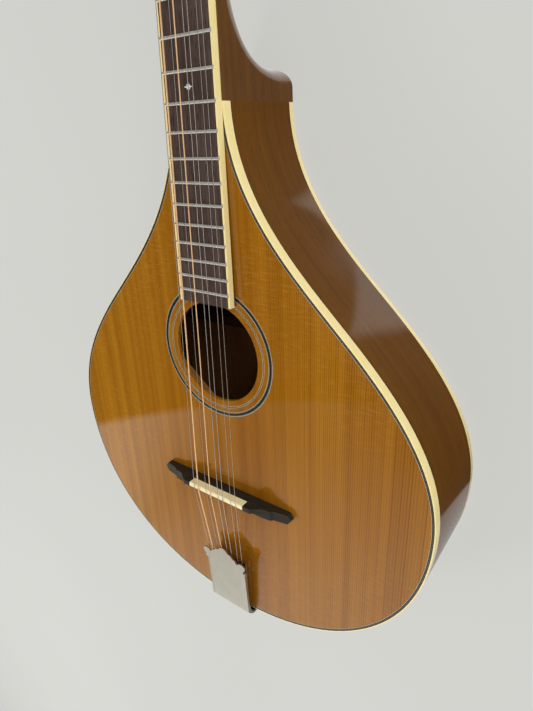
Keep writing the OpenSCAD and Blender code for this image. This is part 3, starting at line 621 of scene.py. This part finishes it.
BASS_KNOTS = [(flipped(p), flipped(b), flipped(a)) for p, a, b in reversed(TREBLE_KNOTS)]
WHOLE_OUTLINE = TREBLE_KNOTS + [TAIL_KNOT] + BASS_KNOTS


def outline_strip(name, profile, knots=None):
    """A strip swept round the body; profile points are (distance in from the edge, height)."""
    knots = knots or WHOLE_OUTLINE
    clear_bench()
    section = bpy.data.curves.new(name + "_section", "CURVE")
    spline = section.splines.new("POLY")
    spline.points.add(len(profile) - 1)
    for point, (inward, height) in zip(spline.points, profile):
        point.co = (inward * MM, height * MM, 0, 1)
    spline.use_cyclic_u = True
    section_object = bpy.data.objects.new(name + "_section", section)
    scene.collection.objects.link(section_object)
    route = bpy.data.curves.new(name, "CURVE")
    route.dimensions = "3D"
    route.twist_mode = "Z_UP"
    route.resolution_u = 40
    line = route.splines.new("BEZIER")
    line.bezier_points.add(len(knots) - 1)
    for knot, (point, before, after) in zip(line.bezier_points, knots):
        knot.co = (*(point * MM), 0)
        knot.handle_left = (*(before * MM), 0)
        knot.handle_right = (*(after * MM), 0)
    route.bevel_mode = "OBJECT"
    route.bevel_object = section_object
    route.use_fill_caps = True
    strip = bpy.data.objects.new(name, route)
    scene.collection.objects.link(strip)
    take(strip)
    bpy.ops.object.convert(target="MESH")
    bpy.data.objects.remove(section_object)
    merge(strip)
    face_outwards(strip)
    return strip


def grain_along(strip):
    """Notes on every point how far round the outline it lies, so that grain can follow the bend."""
    walk, length, last = [], 0.0, None
    steps = 120
    for (start, _, leave), (end, arrive, _) in zip(WHOLE_OUTLINE, WHOLE_OUTLINE[1:]):
        for i in range(steps):
            t = i / steps
            u = 1 - t
            point = (u * u * u * start + 3 * u * u * t * leave + 3 * u * t * t * arrive
                + t * t * t * end)
            length += (point - last).length if last else 0.0
            walk.append((point, length))
            last = point
    tree = KDTree(len(walk))
    for i, (point, _) in enumerate(walk):
        tree.insert((point[0], point[1], 0), i)
    tree.balance()
    place = strip.data.attributes.new("bent_place", "FLOAT_VECTOR", "POINT")
    for vertex, entry in zip(strip.data.vertices, place.data):
        _, i, away = tree.find((vertex.co.x / MM, vertex.co.y / MM, 0))
        entry.vector = (vertex.co.z, walk[i][1] * MM, away * MM)


def binding_section(face, away):
    """Section of a binding strip from its inner end to its face, rounded at the outer edge."""
    up = 1 if face > away else -1
    ease = BINDING_EASE
    return [(0, away), (0, face - up * ease), (ease * 0.12, face - up * ease * 0.5),
        (ease * 0.5, face - up * ease * 0.12), (ease, face), (BIND_W, face), (BIND_W, away)]


def build_bindings():
    for name, face, away, node in (
        ("top_binding_strip", TOP_Z, TOP_Z - BIND_H, "top_binding"),
        ("back_binding_strip", 0, BACK_BIND_H, "back_binding"),
    ):
        strip = outline_strip(name, binding_section(face, away))
        smooth(strip, 25)
        mount(strip, "frame", "cream_binding", CREAM, node)


def build_ribs():
    """The two bent ribs, cut back at both edges for the bindings, with a line beside each."""
    low, high = BACK_BIND_H + SIDE_LINE, TOP_Z - BIND_H - SIDE_LINE
    section = [(0, low), (0, high), (BIND_W, high), (BIND_W, TOP_Z - TOP_T),
        (RIB_T, TOP_Z - TOP_T), (RIB_T, BACK_T), (BIND_W, BACK_T), (BIND_W, low)]
    for name, knots, node in (
        ("rib_treble_bent", TREBLE_KNOTS + [TAIL_KNOT], "rib_treble"),
        ("rib_bass_bent", [TAIL_KNOT] + BASS_KNOTS, "rib_bass"),
    ):
        rib = outline_strip(name, section, knots)
        grain_along(rib)
        smooth(rib, 25)
        mount(rib, "frame", "mahogany", SIDE_WOOD, node)
    for name, start in (("side_line_top", high), ("side_line_back", BACK_BIND_H)):
        line = outline_strip(name, [(0, start), (0, start + SIDE_LINE),
            (BIND_W, start + SIDE_LINE), (BIND_W, start)])
        smooth(line, 25)
        mount(line, "frame", "inlaid_lines", BLACK_LINE)


def build_purfling():
    """Four thin lines side by side, from the binding inwards."""
    low = TOP_Z - PURFLING_DEPTH
    for name, start, end, material in (
        ("purfling_outer_black", BIND_W, 1.6, BLACK_LINE),
        ("purfling_hairline", 1.6, 1.75, GREY_LINE),
        ("purfling_inner_black", 1.75, 2.5, BLACK_LINE),
        ("purfling_white", 2.5, 2.8, WHITE_LINE),
    ):
        line = outline_strip(name, [(start, low), (start, TOP_Z), (end, TOP_Z), (end, low)])
        nodes = ("top_purfling",) if name == "purfling_outer_black" else ()
        mount(line, "frame", "inlaid_lines", material, *nodes)


def inlaid_ring(name, inner, outer):
    """One flat ring of the rosette, let into the soundboard."""
    clear_bench()
    bpy.ops.mesh.primitive_circle_add(vertices=160, radius=inner * MM, fill_type="NOTHING",
        location=(0, 0, TOP_Z * MM))
    ring = bpy.context.object
    ring.name = name
    settle(ring)
    mesh = edit(ring, "EDGE")
    bpy.ops.mesh.select_all(action="SELECT")
    bpy.ops.mesh.extrude_edges_move()
    bpy.ops.transform.resize(value=(outer / inner, outer / inner, 1),
        center_override=(0, 0, TOP_Z * MM))
    bpy.ops.mesh.select_all(action="SELECT")
    bpy.ops.mesh.extrude_region_move(TRANSFORM_OT_translate={"value": (0, 0, -RING_DEPTH * MM)})
    done()
    face_outwards(ring)
    smooth(ring, 25)
    return ring


def build_rosette():
    """Two groups of thin rings round the soundhole: name, inner and outer radius, material."""
    rings = [
        ("rosette_inner_line", 41.6, 41.95, WHITE_LINE),
        ("rosette_inner_band", 41.95, 42.55, BLACK_LINE),
        ("rosette_inner_edge", 42.55, 42.9, WHITE_LINE),
        ("rosette_outer_line", 46.3, 46.65, WHITE_LINE),
        ("rosette_outer_hair", 46.65, 46.85, BLACK_LINE),
        ("rosette_outer_ply", 46.85, 47.15, GREY_LINE),
        ("rosette_outer_band", 47.15, 48.75, BLACK_LINE),
        ("rosette_rim_ply", 48.75, 49.1, GREY_LINE),
        ("rosette_rim_hair", 49.1, 49.3, BLACK_LINE),
        ("rosette_rim_line", 49.3, 49.7, WHITE_LINE),
    ]
    for name, inner, outer, material in rings:
        ring = inlaid_ring(name, inner, outer)
        nodes = ("rosette",) if name == "rosette_outer_band" else ()
        mount(ring, "frame", "inlaid_lines", material, *nodes)


def build_soundboard():
    """The soundboard, with the rim of the soundhole rounded over."""
    board = copy_node("soundboard", "soundboard_piece")
    mesh = edit(board, "EDGE")
    pick(board, mesh, mesh.edges, lambda e: all(abs(v.co.xy.length - HOLE_R * MM) < 0.3 * MM
        and v.co.z > (TOP_Z - 0.1) * MM for v in e.verts))
    bpy.ops.mesh.bevel(offset=HOLE_ROUND * MM, segments=4, profile=0.5)
    done()
    smooth(board, 30)
    apply_modifier(board, "WEIGHTED_NORMAL", keep_sharp=True, weight=80)
    mount(board, "frame", SLOT_OF["soundboard"], TOP_WOOD, "soundboard")


build_bindings()
build_ribs()
build_purfling()
build_rosette()
build_soundboard()


# ---- Neck, headstock and board
def build_frets():
    """One fret is filed to shape, then copied to every slot at its own length."""
    clear_bench()
    bpy.ops.mesh.primitive_cube_add(size=1)
    first = bpy.context.object
    first.name = "fret_1"
    first.scale = (1, FRET_W * MM, FRET_H * MM)
    first.location = (0, 0, FRET_H * MM / 2)
    settle(first)
    mesh = edit(first, "EDGE")
    pick(first, mesh, mesh.edges, lambda e: all(v.co.z > 0.5 * MM for v in e.verts)
        and abs(e.verts[0].co.x - e.verts[1].co.x) > 0.5)
    bpy.ops.mesh.bevel(offset=FRET_ROUND * MM, segments=5, profile=0.5, clamp_overlap=False)
    done()
    frets = []
    for number in range(1, FRETS + 1):
        y = fret_y(number)
        fret = bpy.data.objects.new(f"fret_{number}", first.data.copy())
        scene.collection.objects.link(fret)
        reach = (board_half(y) + 0.9) * MM
        for v in fret.data.vertices:
            side = 1 if v.co.x > 0 else -1
            # The ends are filed to a slope
            v.co.x = side * (reach - max(0.0, v.co.z) * FRET_END_SLOPE)
        fret.matrix_world = Matrix.Translation(
            board_place(0, y - JOINT_Y, BOARD_T) * MM) @ BOARD_TURN
        settle(fret)
        frets.append(fret)
    bpy.data.objects.remove(first)
    wires = join_pieces(frets, "fret_wires", 40)
    mount(wires, "frame", "fret_wire", FRET_WIRE, "frets")


build_frets()
eased("neck", 0, smooth_angle=22)
eased("nut", 0.3, smooth_angle=35)
eased("headstock", 0.8, segments=3)
eased("tailpiece_cover", 0.35, angle=20)
for name, width in (("fretboard_binding", 0.45), ("headstock_veneer", 0.3), ("truss_cover", 0.35),
        ("bridge", 0.35), ("saddle", 0.25), ("tailpiece_base", 0.25), ("tuner_plates", 0.2),
        ("small_screws", 0.08), ("post_bushings", 0.12), ("end_pin", 0.3),
        ("fretboard_wedge", 0.1)):
    eased(name, width)


# ---- Strings
COURSES = "gdae"
# Radii of the two strings of each course; the lower two courses pair a plain octave string
# with a wound one
STRING_RADII = {"g": (0.22, 0.58), "d": (0.16, 0.42), "a": (0.25, 0.25), "e": (0.17, 0.17)}
# Which of the four posts on its side each string goes to, counted from the nut
POST_ROWS = {"g": (0, 1), "d": (2, 3), "a": (3, 2), "e": (1, 0)}
REST_BACK = {"g": 2.6, "d": 1.4, "a": 2.8, "e": 1.2}
STRING_AT_NUT = BOARD_T + FRET_H + 0.5
TOUCH = 0.02
HOOK_Y = -194.6
HOOK_H = 7.2
SADDLE_H = 14.9
# Pitch of the courses and gap within a pair, at the hooks, the saddle and the nut
HOOK_SPREAD = (9.9, 4.3)
SADDLE_SPREAD = (12.5, 4.7)
NUT_SPREAD = (8.4, 2.7)
POST_WRAP = 0.38 + 0.3
POST_H = 7.0
WINDING_PITCH = 0.45


def string_route(letter, side, radius):
    """Hook, saddle, nut and post of one string."""
    course = COURSES.index(letter)

    def across(spread):
        pitch, pair = spread
        return (course - 1.5) * pitch + side * pair / 2

    outward = -1 if course < 2 else 1
    row = POST_ROWS[letter][0 if side < 0 else 1]
    return [
        Vector((across(HOOK_SPREAD), HOOK_Y, TOP_Z + HOOK_H)),
        Vector((across(SADDLE_SPREAD), BRIDGE_FRONT - REST_BACK[letter],
            TOP_Z + SADDLE_H + radius + TOUCH)),
        board_place(across(NUT_SPREAD), NUT_Y - JOINT_Y + 0.3, STRING_AT_NUT + radius + TOUCH),
        head_place(outward * (POST_X - POST_R - POST_WRAP - radius),
            FIRST_POST + row * POST_PITCH, POST_H),
    ]


def plain_string(name, route, radius):
    """A bright wire drawn along its route."""
    clear_bench()
    curve = bpy.data.curves.new(name, "CURVE")
    curve.dimensions = "3D"
    spline = curve.splines.new("POLY")
    spline.points.add(len(route) - 1)
    for point, place in zip(spline.points, route):
        point.co = (*(place * MM), 1)
    curve.bevel_depth = radius * MM
    curve.bevel_resolution = 3
    curve.use_fill_caps = True
    wire = bpy.data.objects.new(name, curve)
    scene.collection.objects.link(wire)
    take(wire)
    bpy.ops.object.convert(target="MESH")
    merge(wire)
    face_outwards(wire)
    smooth(wire, 50)
    return wire


def wound_string(name, route, radius, pitch):
    """A wire with its winding as a real screw, one straight run after another."""
    runs = []
    for start, end in zip(route, route[1:]):
        length = (end - start).length
        clear_bench()
        bpy.ops.mesh.primitive_circle_add(vertices=3, radius=0.001)
        run = bpy.context.object
        data = run.data
        data.clear_geometry()
        depth = radius * 0.16
        bead = [(radius - depth, 0), (radius - depth * 0.25, pitch * 0.25), (radius, pitch * 0.5),
            (radius - depth * 0.25, pitch * 0.75), (radius - depth, pitch)]
        data.from_pydata([(r * MM, 0, z * MM) for r, z in bead],
            [(i, i + 1) for i in range(len(bead) - 1)], [])
        apply_modifier(run, "SCREW", screw_offset=pitch * MM, iterations=max(1, int(length / pitch)),
            steps=8, render_steps=8, use_merge_vertices=True, merge_threshold=0.00001, axis="Z")
        turn = (end - start).to_track_quat("Z", "Y").to_matrix().to_4x4()
        run.matrix_world = Matrix.Translation(start * MM) @ turn
        settle(run)
        runs.append(run)
    return join_pieces(runs, name, 60)


def build_strings():
    for letter in COURSES:
        for side in (-1, 1):
            radius = STRING_RADII[letter][0 if side < 0 else 1]
            route = string_route(letter, side, radius)
            outer = side * (COURSES.index(letter) - 1.5) > 0
            name = f"string_{letter}_{'outer' if outer else 'inner'}"
            nodes = (f"strings_{letter}",) if side < 0 else ()
            if radius > 0.4:
                wire = wound_string(name + "_wound", route, radius, WINDING_PITCH)
                mount(wire, "frame", "bronze_wound", WOUND_WIRE, *nodes)
            else:
                wire = plain_string(name + "_plain", route, radius)
                mount(wire, "frame", "plain_steel", PLAIN_WIRE, *nodes)


build_strings()


# ---- Tuners
for number in range(1, 9):
    eased(f"tuner_{number}_button", 1.3, 4, angle=60, smooth_angle=50)
    eased(f"tuner_{number}_post", 0.12)


# ---- Floor, background and light
FLOOR_SIZE = 30
FLOOR_GAP = 0.0006


def make_floor():
    """A pale sheet just under the back, far larger than the view."""
    clear_bench()
    bpy.ops.mesh.primitive_plane_add(size=FLOOR_SIZE, location=(0, 0, -FLOOR_GAP))
    floor = bpy.context.object
    floor.name = "studio_floor"
    material, tree, shader, place = new_material("floor_paper", Specular_IOR_Level=0.1)
    cloud = noise(tree, place, 1.3, 2)
    tone = blend_colours(tree, cloud, (0.10, 0.101, 0.098), (0.13, 0.131, 0.126))
    finish_material(tree, shader, tone, spread(tree, cloud, 0.8, 0.9))
    glow = blend_colours(tree, cloud, (0.50, 0.50, 0.475), (0.55, 0.55, 0.525))
    tree.links.new(glow, shader.inputs["Emission Color"])
    shader.inputs["Emission Strength"].default_value = 1.0
    floor.visible_glossy = False
    paint(floor, material)


def add_light(name, place, target, size, power):
    """A square soft light that no polished part mirrors."""
    data = bpy.data.lights.new(name, "AREA")
    data.shape = "SQUARE"
    data.size = size
    data.energy = power
    light = bpy.data.objects.new(name, data)
    scene.collection.objects.link(light)
    place, target = Vector(place), Vector(target)
    light.matrix_world = (Matrix.Translation(place)
        @ (target - place).to_track_quat("-Z", "Y").to_matrix().to_4x4())
    light.visible_glossy = False


# Brightness of what the polish mirrors, and of the even light on everything else
CARD_LEVEL = 1.0
CEILING_LEVEL = 1.2
BEHIND_LEVEL = 0.35
SHEET_LEVEL = 0.75
ROOM_LEVEL = 0.012
EVEN_LEVEL = 0.55


def make_world():
    """A dim room with white cards on the tail side and overhead, and the backdrop below."""
    world = bpy.data.worlds.new("studio")
    scene.world = world
    world.use_nodes = True
    tree = world.node_tree
    toward = tree.nodes.new("ShaderNodeTexCoord").outputs["Generated"]
    x, y, z = add(tree, "ShaderNodeSeparateXYZ", {0: toward}).outputs

    def step(value, start, end):
        """Rises softly from 0 at start to 1 at end."""
        return add(tree, "ShaderNodeMapRange", {"Value": value, "From Min": start,
            "From Max": end}, interpolation_type="SMOOTHSTEP").outputs[0]

    low = step(y, -0.468, -0.484)
    bright = math_node(tree, "MAXIMUM", step(y, -0.50, -0.78), step(x, -0.56, -0.72))
    card = math_node(tree, "ADD", 0.24, math_node(tree, "MULTIPLY", bright, 0.76))
    card = math_node(tree, "MULTIPLY", math_node(tree, "MULTIPLY", card, low), CARD_LEVEL)
    upright = math_node(tree, "MULTIPLY", step(z, 0.86, 0.74), step(z, -0.06, 0.0))
    card = math_node(tree, "MULTIPLY", card, upright)
    ceiling = math_node(tree, "MULTIPLY", step(z, 0.79, 0.90), CEILING_LEVEL)
    behind = math_node(tree, "MULTIPLY", math_node(tree, "MULTIPLY", step(x, 0.15, 0.75),
        step(z, 0.1, 0.4)), BEHIND_LEVEL)
    # The white backdrop behind and below, with its edges along the treble and tail sides
    tail_sheet = math_node(tree, "MULTIPLY", step(y, -0.555, -0.58), 0.5)
    side_sheet = math_node(tree, "MAXIMUM", step(x, 0.285, 0.215),
        math_node(tree, "MULTIPLY", step(x, 0.38, 0.34), step(y, 0.44, 0.425)))
    side_sheet = math_node(tree, "MULTIPLY", side_sheet, step(y, -0.3, -0.1))
    sheet = math_node(tree, "MAXIMUM", side_sheet, tail_sheet)
    sheet = math_node(tree, "MULTIPLY", math_node(tree, "MULTIPLY", sheet, step(z, 0.0, -0.06)),
        SHEET_LEVEL)
    level = math_node(tree, "ADD", math_node(tree, "ADD", card, ceiling), sheet)
    level = math_node(tree, "ADD", math_node(tree, "ADD", level, behind), ROOM_LEVEL)
    # Polish mirrors the cards and the dim room; everything else gets their even light
    seen = tree.nodes.new("ShaderNodeLightPath").outputs["Is Glossy Ray"]
    level = math_node(tree, "ADD", math_node(tree, "MULTIPLY", seen, level),
        math_node(tree, "MULTIPLY", math_node(tree, "SUBTRACT", 1.0, seen), EVEN_LEVEL))
    background = tree.nodes["Background"]
    background.inputs["Color"].default_value = (1.0, 0.985, 0.95, 1)
    tree.links.new(level, background.inputs["Strength"])


make_world()
make_floor()
add_light("key", (-0.9, -0.9, 1.0), (0, -0.05, 0.07), 0.42, 10.7)
add_light("fill", (1.05, 0.85, 0.75), (0, -0.05, 0.05), 0.9, 11)
add_light("tail_fill", (-0.25, -1.5, 0.6), (0, -0.1, 0.07), 0.9, 3)
